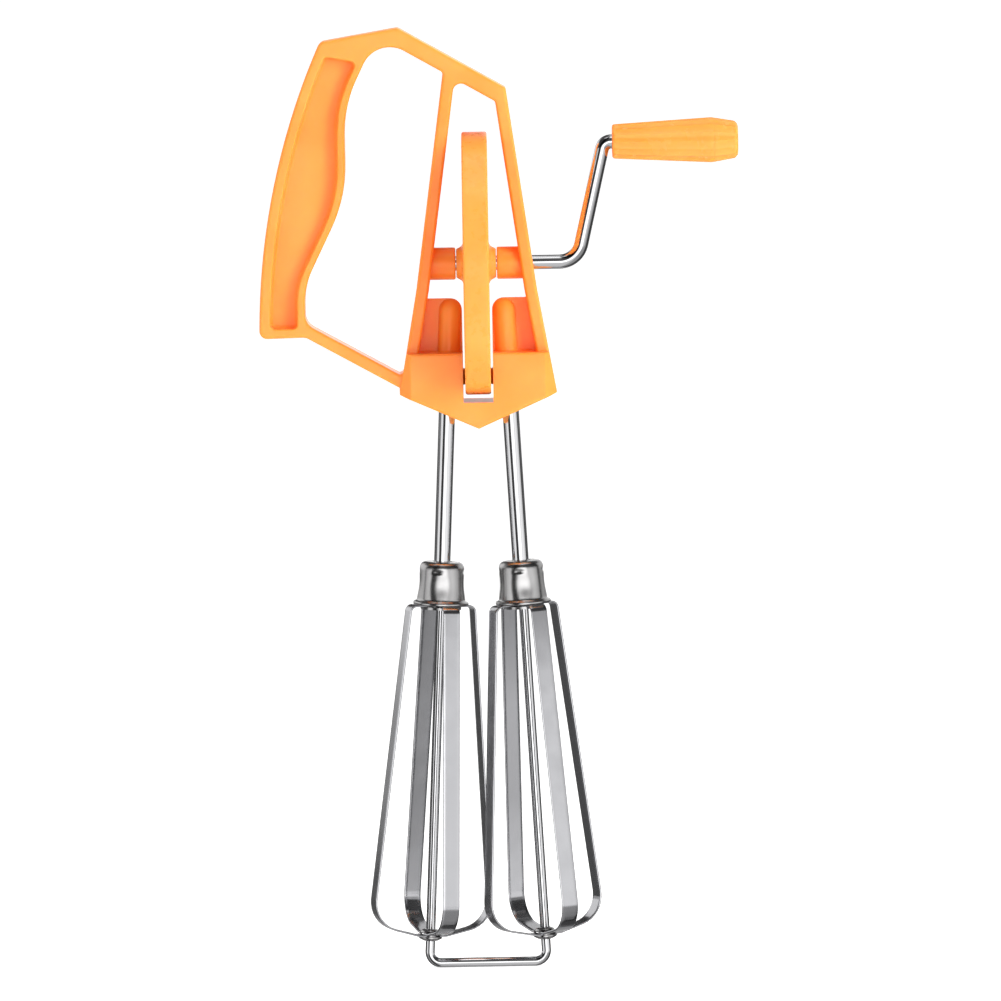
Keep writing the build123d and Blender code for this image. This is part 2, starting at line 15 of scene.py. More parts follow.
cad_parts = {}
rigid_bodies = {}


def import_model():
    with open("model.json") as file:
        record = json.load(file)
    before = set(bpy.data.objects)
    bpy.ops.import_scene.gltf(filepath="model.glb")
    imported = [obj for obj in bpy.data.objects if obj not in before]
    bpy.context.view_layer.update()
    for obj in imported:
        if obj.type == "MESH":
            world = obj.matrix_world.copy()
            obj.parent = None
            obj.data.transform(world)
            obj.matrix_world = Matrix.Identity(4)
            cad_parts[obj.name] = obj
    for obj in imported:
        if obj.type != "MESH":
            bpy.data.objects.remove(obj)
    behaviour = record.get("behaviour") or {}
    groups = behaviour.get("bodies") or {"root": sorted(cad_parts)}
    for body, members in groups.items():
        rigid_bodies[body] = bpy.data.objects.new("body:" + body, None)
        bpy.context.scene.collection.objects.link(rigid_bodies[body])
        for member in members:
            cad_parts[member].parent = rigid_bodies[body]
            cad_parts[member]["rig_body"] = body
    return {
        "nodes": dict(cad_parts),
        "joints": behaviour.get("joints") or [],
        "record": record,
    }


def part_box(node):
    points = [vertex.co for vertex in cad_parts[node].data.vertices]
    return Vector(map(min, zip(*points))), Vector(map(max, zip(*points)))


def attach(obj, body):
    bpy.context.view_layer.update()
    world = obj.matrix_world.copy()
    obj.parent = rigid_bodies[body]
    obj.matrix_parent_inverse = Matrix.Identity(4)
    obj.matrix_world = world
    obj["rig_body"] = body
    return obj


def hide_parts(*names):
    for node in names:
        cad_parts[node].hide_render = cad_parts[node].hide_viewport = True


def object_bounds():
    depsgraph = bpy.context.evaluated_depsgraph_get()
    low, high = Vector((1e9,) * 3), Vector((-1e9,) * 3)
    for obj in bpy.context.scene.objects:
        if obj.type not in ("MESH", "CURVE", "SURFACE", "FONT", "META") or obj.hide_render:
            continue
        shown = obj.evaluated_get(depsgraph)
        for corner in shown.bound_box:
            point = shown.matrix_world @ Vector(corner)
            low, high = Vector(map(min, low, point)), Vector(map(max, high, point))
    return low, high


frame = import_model()
nodes = frame["nodes"]
cad_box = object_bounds()
joints = {joint["name"]: joint for joint in frame["joints"]}
print("nodes:", len(nodes), "joints:", list(joints))

# %% [markdown]
# Product shots are judged by their whites, so the plain sRGB view is used: what is lit to
# white is white, and a strong orange keeps its strength. Colours are written as sRGB hex
# values and turned into the linear light that the renderer works in.

# %% Colour and units
scene = bpy.context.scene
scene.view_settings.view_transform = "Standard"
MM = 0.001


def linear(hex_colour):
    """An sRGB hex colour as linear RGBA."""
    channels = [int(hex_colour[i:i + 2], 16) / 255 for i in (1, 3, 5)]
    return [c / 12.92 if c <= 0.04045 else ((c + 0.055) / 1.055) ** 2.4 for c in channels] + [1.0]


print("orange in linear light:", [round(c, 3) for c in linear("#F58A1F")])

# %% [markdown]
# Materials, Geometry Nodes and the world are all node trees. One helper adds a node, sets its
# properties and fills its inputs: an input that is given an output socket is linked, any
# other is a value.

# %% Node helper
def add(tree, kind, inputs=None, **settings):
    node = tree.nodes.new(kind)
    for name, value in settings.items():
        setattr(node, name, value)
    for name, value in (inputs or {}).items():
        if isinstance(value, bpy.types.NodeSocket):
            tree.links.new(value, node.inputs[name])
        else:
            node.inputs[name].default_value = value
    return node


def new_material(name, **surface):
    """A material with a Principled surface: its tree and that surface's node."""
    material = bpy.data.materials.new(name)
    material.use_nodes = True
    tree = material.node_tree
    tree.nodes.clear()
    values = {name.replace("_", " "): value for name, value in surface.items()}
    shader = add(tree, "ShaderNodeBsdfPrincipled", values)
    add(tree, "ShaderNodeOutputMaterial", {"Surface": shader.outputs["BSDF"]})
    return material, tree, shader


print("helpers:", add.__name__, new_material.__name__)

# %% [markdown]
# The frame, wheel and grip are glossy injection-moulded polypropylene. It is slightly
# translucent: light enters, scatters and comes out a little further on, which keeps the thick
# handle warm in its shadows. The colour flows a little unevenly, as pigment does in a melt.
# Its skin is smooth, with a very faint waviness left by shrinkage, and a few finger smudges
# that only change the gloss.

# %% Moulded polypropylene
flow_mm, smudge_mm, waviness_mm = 16, 5, 0.25


def polypropylene(name, deep, pale, scatter_mm, gloss):
    material, tree, shader = new_material(
        name, IOR=1.49, Subsurface_Weight=0.45, Subsurface_Radius=(1.0, 0.4, 0.12),
        Subsurface_Scale=scatter_mm * MM, Specular_IOR_Level=0.35, Coat_Weight=0.1,
        Coat_Roughness=0.1)
    place = add(tree, "ShaderNodeTexCoord").outputs["Object"]
    flow = add(tree, "ShaderNodeTexNoise",
               {"Vector": place, "Scale": 1 / (flow_mm * MM), "Detail": 1.0})
    tint = add(tree, "ShaderNodeValToRGB", {"Fac": flow.outputs["Fac"]})
    for stop, colour, at in zip(tint.color_ramp.elements, (deep, pale), (0.35, 0.68)):
        stop.color = linear(colour)
        stop.position = at
    smudge = add(tree, "ShaderNodeTexNoise",
                 {"Vector": place, "Scale": 1 / (smudge_mm * MM), "Detail": 5.0, "Roughness": 0.6})
    rough = add(tree, "ShaderNodeMapRange", {
        "Value": smudge.outputs["Fac"], "From Min": 0.35, "From Max": 0.7,
        "To Min": gloss, "To Max": gloss + 0.05})
    bump = add(tree, "ShaderNodeBump", {
        "Strength": 0.06, "Distance": waviness_mm * MM, "Height": flow.outputs["Fac"]})
    tree.links.new(tint.outputs["Color"], shader.inputs["Base Color"])
    tree.links.new(rough.outputs["Result"], shader.inputs["Roughness"])
    tree.links.new(bump.outputs["Normal"], shader.inputs["Normal"])
    return material


frame_plastic = polypropylene("moulded_polypropylene_frame", "#FE9139", "#FE9944", 4.0, 0.28)
wheel_plastic = polypropylene("moulded_polypropylene_wheel", "#FE9840", "#FE9F4A", 3.0, 0.26)
grip_plastic = polypropylene("moulded_polypropylene_grip", "#FE943E", "#FE9A46", 3.0, 0.24)
pinion_plastic = polypropylene("moulded_polypropylene_pinion", "#FC8E30", "#FC953B", 1.5, 0.34)
print("plastics:", [m.name for m in (frame_plastic, wheel_plastic, grip_plastic, pinion_plastic)])

# %% [markdown]
# The wires, tubes and ferrules are steel with bright plating, and the blades are rolled
# stainless strip. Drawing and rolling leave very fine lines along the length, too fine to see
# one by one, so they are drawn here as coarse as a quarter of a millimetre and only soften
# the reflections. Plating over a pressed part is a little cloudy, which moves the roughness.

# %% Bright plated steel
cloud_mm, line_depth_mm = 6, 0.02
squeeze = 0.03                     # of the pattern along Z, which draws it out into lines


def plated_steel(name, colour, gloss, line_mm, strength):
    material, tree, shader = new_material(name, Base_Color=linear(colour), Metallic=1.0)
    place = add(tree, "ShaderNodeTexCoord").outputs["Object"]
    along = add(tree, "ShaderNodeMapping", {"Vector": place, "Scale": (1.0, 1.0, squeeze)})
    lines = add(tree, "ShaderNodeTexNoise",
                {"Vector": along.outputs["Vector"], "Scale": 1 / (line_mm * MM), "Detail": 3.0})
    cloud = add(tree, "ShaderNodeTexNoise",
                {"Vector": place, "Scale": 1 / (cloud_mm * MM), "Detail": 3.0})
    rough = add(tree, "ShaderNodeMapRange", {
        "Value": cloud.outputs["Fac"], "From Min": 0.3, "From Max": 0.7,
        "To Min": gloss, "To Max": gloss + 0.07})
    bump = add(tree, "ShaderNodeBump", {
        "Strength": strength, "Distance": line_depth_mm * MM, "Height": lines.outputs["Fac"]})
    tree.links.new(rough.outputs["Result"], shader.inputs["Roughness"])
    tree.links.new(bump.outputs["Normal"], shader.inputs["Normal"])
    return material


plated_wire = plated_steel("chrome_plated_drawn_wire", "#DCDCDE", 0.05, 0.25, 0.2)
tube_steel = plated_steel("chrome_plated_drawn_tube", "#DCDCDE", 0.06, 0.25, 0.2)
ferrule_steel = plated_steel("nickel_plated_pressed_steel", "#BEBDBD", 0.2, 0.3, 0.4)
blade_steel = plated_steel("rolled_stainless_strip", "#C4C4C7", 0.15, 0.35, 0.5)
print("metals:", [m.name for m in (plated_wire, tube_steel, ferrule_steel, blade_steel)])

# %% [markdown]
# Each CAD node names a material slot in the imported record. The finishes are handed out by
# that slot, so that no node is forgotten.

# %% Hand out the finishes
finishes = {
    "frame_plastic": frame_plastic, "wheel_plastic": wheel_plastic, "grip_plastic": grip_plastic,
    "pinion_plastic": pinion_plastic, "plated_wire": plated_wire, "tube_steel": tube_steel,
    "ferrule_steel": ferrule_steel, "blade_steel": blade_steel}
slot_of = {part["node"]: part["material_slot"] for part in frame["record"]["subparts"]}
for name, node in nodes.items():
    for slot in node.material_slots:
        slot.material = finishes[slot_of[name]]
print("dressed", len(slot_of), "nodes")

# %% [markdown]
# A finer piece takes the place of its CAD node: it stands where the node stands, rides on the
# same body and takes the same finish. Its place is put into the mesh, so that the object
# itself stays at the origin.

# %% Put a finer piece in place
body_of = {name: node["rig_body"] for name, node in nodes.items()}


def put_in_place(mesh, node, matrix=None):
    """Makes the mesh a piece of the object that stands for a CAD node."""
    if matrix is not None:
        mesh.transform(matrix)
    mesh.name = node + "_fine"
    mesh.materials.clear()
    mesh.materials.append(finishes[slot_of[node]])
    piece = bpy.data.objects.new(node + "_fine", mesh)
    scene.collection.objects.link(piece)
    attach(piece, body_of[node])
    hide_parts(node)
    print(piece.name, len(mesh.polygons), "faces")
    return piece


# %% [markdown]
# Wires, strips, teeth and flutes all repeat something or follow a line, which is what
# Geometry Nodes are for. A tree is fed by a plain chain of points or by one tooth, has its
# sizes as named inputs, and ends by making real geometry of its instances and giving it its
# material. Its result is kept as a plain mesh and the modifier goes.

# %% Start, finish and run a Geometry Nodes tree
def start_tree(name, sizes):
    tree = bpy.data.node_groups.new(name, "GeometryNodeTree")
    tree.interface.new_socket("Geometry", in_out="INPUT", socket_type="NodeSocketGeometry")
    for label, kind in sizes.items():
        tree.interface.new_socket(label, in_out="INPUT", socket_type="NodeSocket" + kind)
    tree.interface.new_socket("Finish", in_out="INPUT", socket_type="NodeSocketMaterial")
    tree.interface.new_socket("Geometry", in_out="OUTPUT", socket_type="NodeSocketGeometry")
    return tree, add(tree, "NodeGroupInput").outputs


def finish_tree(tree, inputs, geometry):
    real = add(tree, "GeometryNodeRealizeInstances", {"Geometry": geometry})
    dressed = add(tree, "GeometryNodeSetMaterial",
                  {"Geometry": real.outputs["Geometry"], "Material": inputs["Finish"]})
    add(tree, "NodeGroupOutput", {"Geometry": dressed.outputs["Geometry"]})


def grow(tree, start, node, **sizes):
    """Runs a tree on a start mesh and returns the result as a plain mesh."""
    seed = bpy.data.objects.new(node + "_start", start)
    scene.collection.objects.link(seed)
    modifier = seed.modifiers.new(tree.name, "NODES")
    modifier.node_group = tree
    values = {label.replace("_", " "): value for label, value in sizes.items()}
    values["Finish"] = finishes[slot_of[node]]
    for item in tree.interface.items_tree:
        if item.in_out == "INPUT" and item.name in values:
            modifier[item.identifier] = values[item.name]
    graph = bpy.context.evaluated_depsgraph_get()
    mesh = bpy.data.meshes.new_from_object(seed.evaluated_get(graph))
    seed.modifiers.remove(modifier)
    bpy.data.objects.remove(seed)
    return mesh


def chain(name, points, values):
    """A line of points, each with a value stored as the attribute size."""
    mesh = bpy.data.meshes.new(name)
    mesh.from_pydata(points, [(k, k + 1) for k in range(len(points) - 1)], [])
    mesh.attributes.new("size", "FLOAT", "POINT").data.foreach_set("value", values)
    return mesh


print("tree helpers:", [f.__name__ for f in (start_tree, finish_tree, grow, chain)])

# %% [markdown]
# The wire foot and the crank's rod are drawn round stock, bent cold. Each is a line with its
# corners rounded to the bend's radius and a circle carried along it. Forty sides and smooth
# shading give chrome the clean streaks that it shows on real rod.

# %% Tree for bent round stock
round_stock, given = start_tree("bent_round_stock", {"Diameter": "Float"})
line = add(round_stock, "GeometryNodeMeshToCurve", {"Mesh": given["Geometry"]})
bend = add(round_stock, "GeometryNodeInputNamedAttribute", {"Name": "size"}, data_type="FLOAT")
bent = add(round_stock, "GeometryNodeFilletCurve", {
    "Curve": line.outputs["Curve"], "Count": 14, "Radius": bend.outputs["Attribute"]}, mode="POLY")
radius = add(round_stock, "ShaderNodeMath", {0: given["Diameter"], 1: 0.5}, operation="MULTIPLY")
section = add(round_stock, "GeometryNodeCurvePrimitiveCircle",
              {"Resolution": 40, "Radius": radius.outputs["Value"]})
swept = add(round_stock, "GeometryNodeCurveToMesh", {
    "Curve": bent.outputs["Curve"], "Profile Curve": section.outputs["Curve"], "Fill Caps": True})
finish_tree(round_stock, given, swept.outputs["Mesh"])
print("inputs:", [item.name for item in round_stock.interface.items_tree if item.in_out == "INPUT"])

# %% [markdown]
# The whisks and the wire share two spindles that lean outwards a little, and the crank turns
# about a level line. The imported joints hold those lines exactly, so they are read from there
# and nothing has to be lined up by eye.

# %% Spindle lines and the crank's line, from the joints
beaters = {"left": joints["left_beater_spin"], "right": joints["right_beater_spin"]}
crank_z = joints["crank_turn"]["pos_m"][2]
grip_z = joints["grip_spin"]["pos_m"][2]


def on_spindle(side):
    """Turns a shape about the Z axis into one about that side's spindle."""
    anchor, axis = Vector(beaters[side]["pos_m"]), Vector(beaters[side]["axis"])
    lean = Vector((0, 0, 1)).rotation_difference(axis).to_matrix().to_4x4()
    return Matrix.Translation(anchor) @ lean @ Matrix.Translation((0, 0, -anchor.z))


def spindle_point(side, z):
    """The point at height z on that side's spindle."""
    anchor, axis = Vector(beaters[side]["pos_m"]), Vector(beaters[side]["axis"])
    return anchor + axis * ((z - anchor.z) / axis.z)


print("spindles lean:", round(math.degrees(math.acos(beaters["left"]["axis"][2])), 2), "degrees")

# %% [markdown]
# One 3 mm wire runs down the left spindle, across under both whisks and up the right one, so
# it is both the axle and the foot. The crank's rod is thicker and has two bends. The bend
# radii are those of the wire's middle line, as a bending tool would set them.

# %% Wire foot and crank rod
wire_d, rod_d = 3.0 * MM, 4.5 * MM
foot_bend = 3.5 * MM
arm_bend, grip_bend = 7.0 * MM, 3.0 * MM
arm_x, arm_lean = 31.6 * MM, math.radians(13.1)


def smooth(mesh):
    """Smooth shading, apart from edges sharper than 35 degrees."""
    mesh.shade_smooth()
    mesh.set_sharp_from_angle(angle=math.radians(35))
    return mesh


wire_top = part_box("wire_frame")[1].z
legs = [spindle_point("left", wire_top), spindle_point("left", wire_d / 2),
        spindle_point("right", wire_d / 2), spindle_point("right", wire_top)]
start = chain("wire_line", legs, [0.0, foot_bend, foot_bend, 0.0])
put_in_place(smooth(grow(round_stock, start, "wire_frame", Diameter=wire_d)), "wire_frame")

rod_in, rod_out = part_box("crank_rod")
corner_x = arm_x + (grip_z - crank_z) * math.tan(arm_lean)
bends = [(rod_in.x, 0, crank_z), (arm_x, 0, crank_z), (corner_x, 0, grip_z), (rod_out.x, 0, grip_z)]
start = chain("rod_line", bends, [0.0, arm_bend, grip_bend, 0.0])
rod = grow(round_stock, start, "crank_rod", Diameter=rod_d)
print("rod:", len(rod.polygons), "faces")

# %% [markdown]
# Each whisk is two loops of rolled strip. A loop is a line with three bends, carried once
# down each side of the spindle, and its section is a flat strip whose edges are rounded by
# the rolling. The points along the line and around the section are divided once more, so
# that the shading of a flat stays flat right up to its edge.

# %% Tree for a loop of strip
strip_loop, given = start_tree(
    "strip_loop", {"Width": "Float", "Thickness": "Float", "Edge": "Float"})
line = add(strip_loop, "GeometryNodeMeshToCurve", {"Mesh": given["Geometry"]})
bend = add(strip_loop, "GeometryNodeInputNamedAttribute", {"Name": "size"}, data_type="FLOAT")
bent = add(strip_loop, "GeometryNodeFilletCurve", {
    "Curve": line.outputs["Curve"], "Count": 8, "Radius": bend.outputs["Attribute"]}, mode="POLY")
path = add(strip_loop, "GeometryNodeSubdivideCurve", {"Curve": bent.outputs["Curve"], "Cuts": 2})
flat = add(strip_loop, "GeometryNodeCurvePrimitiveQuadrilateral",
           {"Width": given["Width"], "Height": given["Thickness"]})
eased = add(strip_loop, "GeometryNodeFilletCurve", {
    "Curve": flat.outputs["Curve"], "Count": 2, "Radius": given["Edge"]}, mode="POLY")
section = add(strip_loop, "GeometryNodeSubdivideCurve",
              {"Curve": eased.outputs["Curve"], "Cuts": 4})
swept = add(strip_loop, "GeometryNodeCurveToMesh", {
    "Curve": path.outputs["Curve"], "Profile Curve": section.outputs["Curve"], "Fill Caps": True})
index = add(strip_loop, "GeometryNodeInputIndex")
turn = add(strip_loop, "ShaderNodeMath",
           {0: index.outputs["Index"], 1: math.pi}, operation="MULTIPLY")
about_z = add(strip_loop, "ShaderNodeCombineXYZ", {"Z": turn.outputs["Value"]})
two = add(strip_loop, "GeometryNodeMeshLine", {"Count": 2, "Offset": (0.0, 0.0, 0.0)})
both = add(strip_loop, "GeometryNodeInstanceOnPoints", {
    "Points": two.outputs["Mesh"], "Instance": swept.outputs["Mesh"],
    "Rotation": about_z.outputs["Vector"]})
finish_tree(strip_loop, given, both.outputs["Instances"])
print("nodes in the tree:", len(strip_loop.nodes))

# %% [markdown]
# The two loops of a whisk cross at right angles, one on top of the other at the bottom rivet.
# Each half loop starts under the ferrule, turns down over its rim, runs straight out to the
# widest place and comes back under in a wide bend. Each whisk is turned on its spindle, as
# the gears happen to stand.

# %% The four loops
blade_w, blade_t, blade_edge = 5.5, 0.6, 0.22      # millimetres, as the lines below
ferrule_z = 114.2
whisk_top_r, whisk_low_r = 10.45, 19.7
whisk_low_z, whisk_cone = 10.0, math.radians(14)
first_r = blade_w / 2 * math.sqrt(2) + 0.2         # four strip ends side by side
flat_r = first_r + 0.3
rivet_r = 2.25
strip_bends = (0.0, 2.0, 9.0, 3.0, 0.0)            # at the five points of a half loop
clocking = {"left": 19.0, "right": 26.0}           # degrees
for side in beaters:
    for level, letter in enumerate("ab"):
        low_corner = whisk_low_z + (whisk_low_r - flat_r) * math.tan(whisk_cone)
        bottom = whisk_low_z + level * blade_t
        half = [(first_r, ferrule_z - blade_t / 2), (whisk_top_r, ferrule_z - blade_t / 2),
                (whisk_low_r, low_corner), (flat_r, bottom), (rivet_r, bottom)]
        start = chain("strip_line", [(x * MM, 0, z * MM) for x, z in half],
                      [b * MM for b in strip_bends])
        node = f"{side}_blade_loop_{letter}"
        loop = grow(strip_loop, start, node, Width=blade_w * MM, Thickness=blade_t * MM,
                    Edge=blade_edge * MM)
        clock = Matrix.Rotation(math.radians(clocking[side] + 90 * level), 4, "Z")
        put_in_place(smooth(loop), node, on_spindle(side) @ clock)

# %% [markdown]
# Ferrules, rivets, the wheel's disc and the grip are turned shapes: a closed outline carried
# once round an axis. Real pressed and moulded parts have no sharp corner, so each corner of
# the outline has its own rounding, and long runs are divided to keep their shading even.

# %% Turned shapes
axis_r = 0.02                      # an outline that ends on the axis stops this far off it


def eased_outline(corners, longest):
    """A closed outline from (radius, height, rounding) corners, with no run over longest."""
    points = []
    for k, (x, z, ease) in enumerate(corners):
        here = Vector((x, z))
        before = Vector(corners[k - 1][:2]) - here
        after = Vector(corners[(k + 1) % len(corners)][:2]) - here
        if ease == 0:
            points.append(here)
            continue
        a, b = here + before.normalized() * ease, here + after.normalized() * ease
        for t in (0.0, 0.2, 0.4, 0.6, 0.8, 1.0):
            points.append(a * (1 - t) ** 2 + here * 2 * t * (1 - t) + b * t ** 2)
    divided = []
    for p, q in zip(points, points[1:] + points[:1]):
        parts = max(1, math.ceil((q - p).length / longest))
        divided += [p.lerp(q, k / parts) for k in range(parts)]
    return divided


def turned(name, corners, longest, steps):
    """The solid that an outline in millimetres makes when it goes once round the Z axis."""
    outline = [p * MM for p in eased_outline(corners, longest)]
    count = len(outline)
    points, faces = [], []
    for k in range(steps):
        a = 2 * math.pi * k / steps
        points += [(p.x * math.cos(a), p.x * math.sin(a), p.y) for p in outline]
        here, there = k * count, (k + 1) % steps * count
        faces += [(here + i, there + i, there + (i + 1) % count, here + (i + 1) % count)
                  for i in range(count)]
    mesh = bpy.data.meshes.new(name)
    mesh.from_pydata(points, [], faces)
    return outward(mesh)


def outward(mesh):
    """Turns every face of a closed mesh outwards."""
    work = bmesh.new()
    work.from_mesh(mesh)
    bmesh.ops.recalc_face_normals(work, faces=work.faces)
    work.to_mesh(mesh)
    work.free()
    return mesh


def joined(meshes):
    whole = bmesh.new()
    for mesh in meshes:
        whole.from_mesh(mesh)
    data = bpy.data.meshes.new("joined")
    whole.to_mesh(data)
    whole.free()
    return data


print("shape helpers:", [f.__name__ for f in (eased_outline, turned, outward, joined)])

# %% [markdown]
# The rod's outer end is swaged to a round head. It sits in the grip, under the end plug, and
# keeps the grip from sliding off.

# %% Head of the crank rod
head_r, head_t = 3.4, 1.4
head = turned("head", [
    (axis_r, -head_t, 0), (head_r, -head_t, 0.2), (head_r, 0, 0.4), (axis_r, 0, 0)], 1.0, 48)
head.transform(Matrix.Translation((rod_out.x, 0, grip_z)) @ Matrix.Rotation(math.pi / 2, 4, "Y"))
put_in_place(smooth(joined([rod, head])), "crank_rod")

# %% [markdown]
# The ferrules are pressed from thin sheet. The press leaves a shallow round dent on each side
# that grips the tube, and a short stamped nick above it. Both are pushed into the turned mesh
# by a bell curve round their middle.

# %% Ferrules and rivets
def press_in(mesh, middle_deg, height, wide, high, depth):
    """Pushes a soft dent towards the axis; sizes in millimetres."""
    for vertex in mesh.vertices:
        x, y, z = vertex.co / MM
        r = math.hypot(x, y)
        off = math.remainder(math.atan2(y, x) - math.radians(middle_deg), 2 * math.pi) * r
        bell = math.exp(-(off / wide) ** 2 - ((z - height) / high) ** 2)
        scale = 1 - depth * bell / r
        vertex.co.x *= scale
        vertex.co.y *= scale


tube_r, wire_bore = 2.6, 1.58
ferrule_top = ferrule_z + 13.5
sheet_t = 0.8
skirt_r, body_r, crown_r = 8.75, 7.75, 6.95        # outside, from the rim upwards
inside_low_r, inside_top_r = 6.9, 6.15
rivet_foot_r, rivet_head_r, sliver = 3.65, 2.85, 0.02
for side in beaters:
    cup = turned("cup", [
        (inside_low_r, ferrule_z, 0.2), (skirt_r, ferrule_z, 0.4),
        (skirt_r, ferrule_z + 1.0, 0.4), (body_r, ferrule_z + 1.3, 0.5),
        (crown_r, ferrule_top, 2.2), (tube_r + 0.3, ferrule_top, 0.3),
        (tube_r + 0.05, ferrule_top - sheet_t, 0.2),
        (inside_top_r, ferrule_top - sheet_t, 1.4)], 0.5, 144)
    for quarter in range(4):
        front = 90 * quarter - 88 + (clocking[side] - clocking["left"]) / 2
        press_in(cup, front, ferrule_z + 6.2, wide=2.9, high=3.6, depth=0.42)
        press_in(cup, front - 12, ferrule_top - 3.0, wide=1.5, high=0.45, depth=0.4)
    put_in_place(smooth(cup), side + "_ferrule", on_spindle(side))
    low = whisk_low_z - blade_t / 2
    high = low + 2 * blade_t
    rivet = turned("rivet", [
        (wire_bore, low - 1.4, 0.15), (wire_bore + 0.6, low - 1.4, 0.3),
        (rivet_foot_r, low - 0.6, 0.25), (rivet_foot_r, low - sliver, 0.1),
        (rivet_r, low - sliver, 0), (rivet_r, high + sliver, 0),
        (rivet_head_r + 0.3, high + sliver, 0.1), (rivet_head_r, high + 0.7, 0.25),
        (wire_bore + 0.4, high + 1.1, 0.2), (wire_bore, high + 1.1, 0.1)], 0.5, 72)
    put_in_place(smooth(rivet), side + "_bottom_eyelet", on_spindle(side))

# %% [markdown]
# The gear wheel is a disc with a smooth outer band, and a ring of crown teeth on each face
# that drives the pinions. A tooth is drawn once, with its flanks leaning at 20 degrees and
# running towards the point where the axes cross, and a tree repeats it round the disc. Six
# ribs stiffen each face in the same way.

# %% Tree for a ring of copies about the X axis
ring_of, given = start_tree("ring_of_copies", {"Count": "Int"})
index = add(ring_of, "GeometryNodeInputIndex")
step = add(ring_of, "ShaderNodeMath", {0: 2 * math.pi, 1: given["Count"]}, operation="DIVIDE")
turn = add(ring_of, "ShaderNodeMath",
           {0: index.outputs["Index"], 1: step.outputs["Value"]}, operation="MULTIPLY")
about_x = add(ring_of, "ShaderNodeCombineXYZ", {"X": turn.outputs["Value"]})
places = add(ring_of, "GeometryNodeMeshLine", {"Count": given["Count"], "Offset": (0.0, 0.0, 0.0)})
copies = add(ring_of, "GeometryNodeInstanceOnPoints", {
    "Points": places.outputs["Mesh"], "Instance": given["Geometry"],
    "Rotation": about_x.outputs["Vector"]})
finish_tree(ring_of, given, copies.outputs["Instances"])
print("nodes in the tree:", len(ring_of.nodes))

# %% [markdown]
# A crown tooth's pitch line runs through the point where the wheel's axis and the spindle
# cross. It comes closer to the disc as the radius grows, while the tooth gets thicker. The
# slope follows from the two tooth counts and the spindle's lean. Teeth and ribs are sunk a
# little into the disc, so that no gap shows at their feet.

# %% Gear wheel
wheel_low, wheel_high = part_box("gear_wheel")
wheel_r = (wheel_high.z - wheel_low.z) / 2 / MM
half_hub = wheel_high.x / MM
half_rim, half_web, band_t = 4.0, 1.5, 2.4
hub_end_r, hub_side_r, hub_root_r, rod_r = 4.5, 6.6, 7.4, 2.25
wheel_teeth, pinion_teeth = 60, 11
rib_count, rib_h, sunk = 6, 1, 0.2
rib_foot, rib_top = 0.7, 0.6       # half thicknesses
tooth_len, tooth_tip, tooth_share, pressure = 6.1, 3.65, 0.42, math.radians(20)
tooth_out = wheel_r - band_t
tooth_in = tooth_out - tooth_len
cross_x = joints["right_beater_spin"]["pos_m"][0] / MM
lean = math.acos(joints["right_beater_spin"]["axis"][2])
slope = (pinion_teeth / wheel_teeth - math.sin(lean)) / math.cos(lean)


def closed_block(name, corners):
    """A closed block of eight corners, four at each end, its edges eased."""
    mesh = bmesh.new()
    points = [mesh.verts.new(Vector(c) * MM) for c in corners]
    sides = ((0, 1, 2, 3), (7, 6, 5, 4), (0, 4, 5, 1), (1, 5, 6, 2), (2, 6, 7, 3), (3, 7, 4, 0))
    for side_corners in sides:
        mesh.faces.new([points[i] for i in side_corners])
    bmesh.ops.bevel(
        mesh, geom=mesh.edges, offset=0.15 * MM, segments=2, affect="EDGES", profile=0.5)
    bmesh.ops.recalc_face_normals(mesh, faces=mesh.faces)
    data = bpy.data.meshes.new(name)
    mesh.to_mesh(data)
    mesh.free()
    return data


def crown_tooth(face):
    """One tooth, straight below the axis, on the wheel's face 1 or -1."""
    corners = []
    for r in (tooth_in, tooth_out + 0.3):
        pitch_x = cross_x - r * slope
        middle = tooth_share * math.pi / wheel_teeth * r
        root, tip = (middle - math.tan(pressure) * (x - pitch_x) for x in (half_web, tooth_tip))
        corners += [(face * (half_web - sunk), -root, -r), (face * tooth_tip, -tip, -r),
                    (face * tooth_tip, tip, -r), (face * (half_web - sunk), root, -r)]
    return closed_block("tooth", corners)


def rib(face):
    """One rib, half a rib's share of a turn from upright."""
    corners = []
    for r in (hub_root_r, tooth_in - 1):
        low, high = face * (half_web - sunk), face * (half_web + rib_h)
        corners += [(low, -rib_foot, r), (high, -rib_top, r),
                    (high, rib_top, r), (low, rib_foot, r)]
    mesh = closed_block("rib", corners)
    mesh.transform(Matrix.Rotation(math.radians(180 / rib_count), 4, "X"))
    return mesh


corners = [(half_hub, rod_r, 0), (half_hub, hub_end_r, 0.3), (half_rim + 0.5, hub_end_r + 0.9, 0.6),
           (half_rim, hub_side_r, 0.5), (half_web, hub_root_r, 0.6), (half_web, tooth_out, 0.4),
           (half_rim, tooth_out, 0.3), (half_rim, wheel_r, 0.8)]
outline = [(r, x, ease) for x, r, ease in corners]
disc = turned("disc", outline + [(r, -x, ease) for r, x, ease in reversed(outline)], 1.0, 180)
disc.transform(Matrix.Rotation(math.pi / 2, 4, "Y"))
rings = [grow(ring_of, make(face), "gear_wheel", Count=count)
         for make, count in ((crown_tooth, wheel_teeth), (rib, rib_count)) for face in (1, -1)]
wheel = joined([disc] + rings)
put_in_place(smooth(wheel), "gear_wheel", Matrix.Translation((0, 0, crank_z)))

# %% [markdown]
# The grip turns on the rod. It is fluted: sixteen shallow hollows run along it, so that wet
# fingers hold it. The plain turned shape carries, at each point of its outside, how deep the
# flute is there, and a tree pushes the point in by that depth times a wave round the axis.

